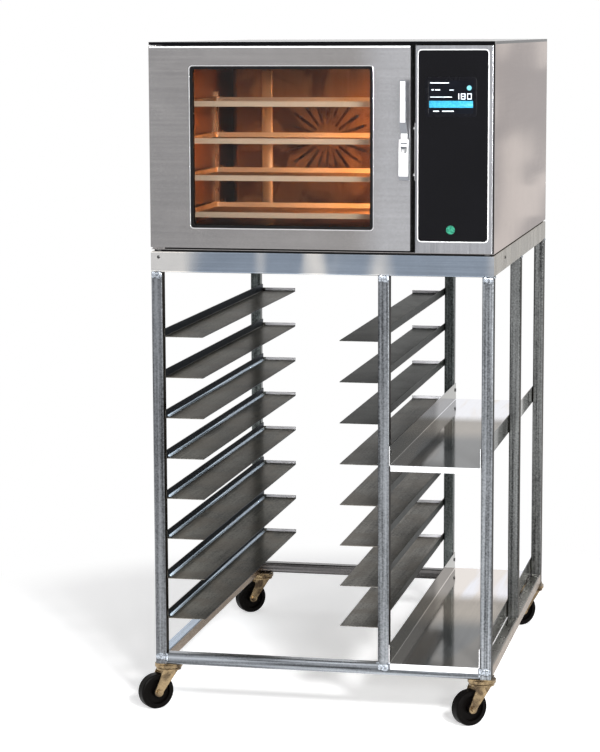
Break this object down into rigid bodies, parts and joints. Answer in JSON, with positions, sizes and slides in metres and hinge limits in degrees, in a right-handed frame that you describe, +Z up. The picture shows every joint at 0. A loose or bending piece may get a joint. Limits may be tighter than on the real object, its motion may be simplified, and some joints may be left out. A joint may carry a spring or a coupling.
{
  "type": "convection oven",
  "caption": "Convection oven with a glazed side-hinged door and a glass control column, on a wheeled stand of square tube with tray runners and shelves.",
  "frame": {"origin": "on the floor under the middle of the stand's footprint", "axes": "+Z up; the door and the controls face -Y; +X to the right as seen from the front"},
  "size_m": [1.0172, 1.341, 1.883],
  "materials": {
    "tube_steel": "brushed tube",
    "apron_steel": "polished sheet",
    "slide_steel": "mill sheet",
    "shelf_steel": "bright sheet",
    "rivet_steel": "dark",
    "yellow_zinc": "yellow zinc plate",
    "wheel_black": "satin",
    "foot_rubber": "matt",
    "casing_steel": "brushed sheet",
    "chamber_steel": "heat-tinted sheet",
    "mineral_wool": "mineral wool",
    "motor_body": "cast",
    "heater_tube": "oxidised",
    "tray_aluminium": "pressed sheet",
    "lamp_glass": "frosted",
    "gasket_rubber": "matt",
    "door_steel": "brushed sheet",
    "door_glass": "clear",
    "bush_brass": "turned",
    "latch_chrome": "polished",
    "panel_glass": "black back-printed",
    "screen": "lit screen",
    "button_green": "lit cap",
    "board_green": "circuit board",
    "outlet_steel": "tube",
    "gland_plastic": "moulded"
  },
  "bodies": {
    "oven_and_stand": {"front_left_post": "tube_steel", "front_right_post": "tube_steel", "rear_left_post": "tube_steel", "rear_right_post": "tube_steel", "front_mid_post": "tube_steel", "rear_mid_post": "tube_steel", "side_mid_post": "tube_steel", "cross_rails": "tube_steel", "side_rails": "tube_steel", "cross_aprons": "apron_steel", "side_aprons": "apron_steel", "left_pan_slides": "slide_steel", "right_pan_slides": "slide_steel", "upper_shelf": "shelf_steel", "lower_shelf": "shelf_steel", "shelf_rivets": "rivet_steel", "castor_plates": "yellow_zinc", "oven_feet": "foot_rubber", "base_pan": "casing_steel", "roof_panel": "casing_steel", "left_side_panel": "casing_steel", "right_side_panel": "casing_steel", "rear_panel": "casing_steel", "front_frame": "casing_steel", "hinge_brackets": "casing_steel", "control_fascia": "casing_steel", "cavity_liner": "chamber_steel", "fan_baffle": "chamber_steel", "tray_racks": "chamber_steel", "insulation_jacket": "mineral_wool", "fan_motor": "motor_body", "heating_element": "heater_tube", "baking_trays": "tray_aluminium", "cavity_lamps": "lamp_glass", "door_gasket": "gasket_rubber", "latch_keeper": "latch_chrome", "control_glass": "panel_glass", "display": "screen", "control_board": "board_green", "steam_outlet": "outlet_steel", "cable_gland": "gland_plastic"},
    "door": {"door_skin": "door_steel", "door_inner_frame": "door_steel", "window_seal": "gasket_rubber", "outer_glass": "door_glass", "inner_glass": "door_glass", "hinge_bushes": "bush_brass", "latch_body": "latch_chrome"},
    "lever": {"latch_lever": "latch_chrome"},
    "button": {"power_button": "button_green"},
    "fan": {"fan_wheel": "chamber_steel", "fan_shaft": "chamber_steel"},
    "front_left_castor": {"front_left_fork": "yellow_zinc"},
    "front_left_wheel": {"front_left_wheel": "wheel_black"},
    "front_right_castor": {"front_right_fork": "yellow_zinc"},
    "front_right_wheel": {"front_right_wheel": "wheel_black"},
    "rear_left_castor": {"rear_left_fork": "yellow_zinc"},
    "rear_left_wheel": {"rear_left_wheel": "wheel_black"},
    "rear_right_castor": {"rear_right_fork": "yellow_zinc"},
    "rear_right_wheel": {"rear_right_wheel": "wheel_black"}
  },
  "joints": [
    {"name": "door_swing", "type": "hinge", "parent": "oven_and_stand", "child": "door", "pos_m": [-0.466, -0.6, 1.595], "axis": [0, 0, -1], "range_deg": [0, 120]},
    {"name": "lever_pull", "type": "hinge", "parent": "door", "child": "lever", "pos_m": [0.236, -0.64012, 1.60532], "axis": [1, 0, 0], "range_deg": [0, 25], "stiffness_Nm_per_rad": 2.5},
    {"name": "button_press", "type": "slide", "parent": "oven_and_stand", "child": "button", "axis": [0, 1, 0], "range_m": [0, 0.002], "stiffness_N_per_m": 600},
    {"name": "fan_spin", "type": "hinge", "parent": "oven_and_stand", "child": "fan", "pos_m": [-0.118, 0.2, 1.592], "axis": [0, 1, 0], "continuous": true},
    {"name": "front_left_swivel", "type": "hinge", "parent": "oven_and_stand", "child": "front_left_castor", "pos_m": [-0.45, -0.595, 0.115], "axis": [0, 0, 1], "continuous": true},
    {"name": "front_left_roll", "type": "hinge", "parent": "front_left_castor", "child": "front_left_wheel", "pos_m": [-0.48121, -0.6231, 0.05], "axis": [-0.6691, 0.7431, 0], "continuous": true},
    {"name": "front_right_swivel", "type": "hinge", "parent": "oven_and_stand", "child": "front_right_castor", "pos_m": [0.45, -0.595, 0.115], "axis": [0, 0, 1], "continuous": true},
    {"name": "front_right_roll", "type": "hinge", "parent": "front_right_castor", "child": "front_right_wheel", "pos_m": [0.41879, -0.6231, 0.05], "axis": [-0.6691, 0.7431, 0], "continuous": true},
    {"name": "rear_left_swivel", "type": "hinge", "parent": "oven_and_stand", "child": "rear_left_castor", "pos_m": [-0.45, 0.595, 0.115], "axis": [0, 0, 1], "continuous": true},
    {"name": "rear_left_roll", "type": "hinge", "parent": "rear_left_castor", "child": "rear_left_wheel", "pos_m": [-0.48121, 0.5669, 0.05], "axis": [-0.6691, 0.7431, 0], "continuous": true},
    {"name": "rear_right_swivel", "type": "hinge", "parent": "oven_and_stand", "child": "rear_right_castor", "pos_m": [0.45, 0.595, 0.115], "axis": [0, 0, 1], "continuous": true},
    {"name": "rear_right_roll", "type": "hinge", "parent": "rear_right_castor", "child": "rear_right_wheel", "pos_m": [0.41879, 0.5669, 0.05], "axis": [-0.6691, 0.7431, 0], "continuous": true}
  ]
}
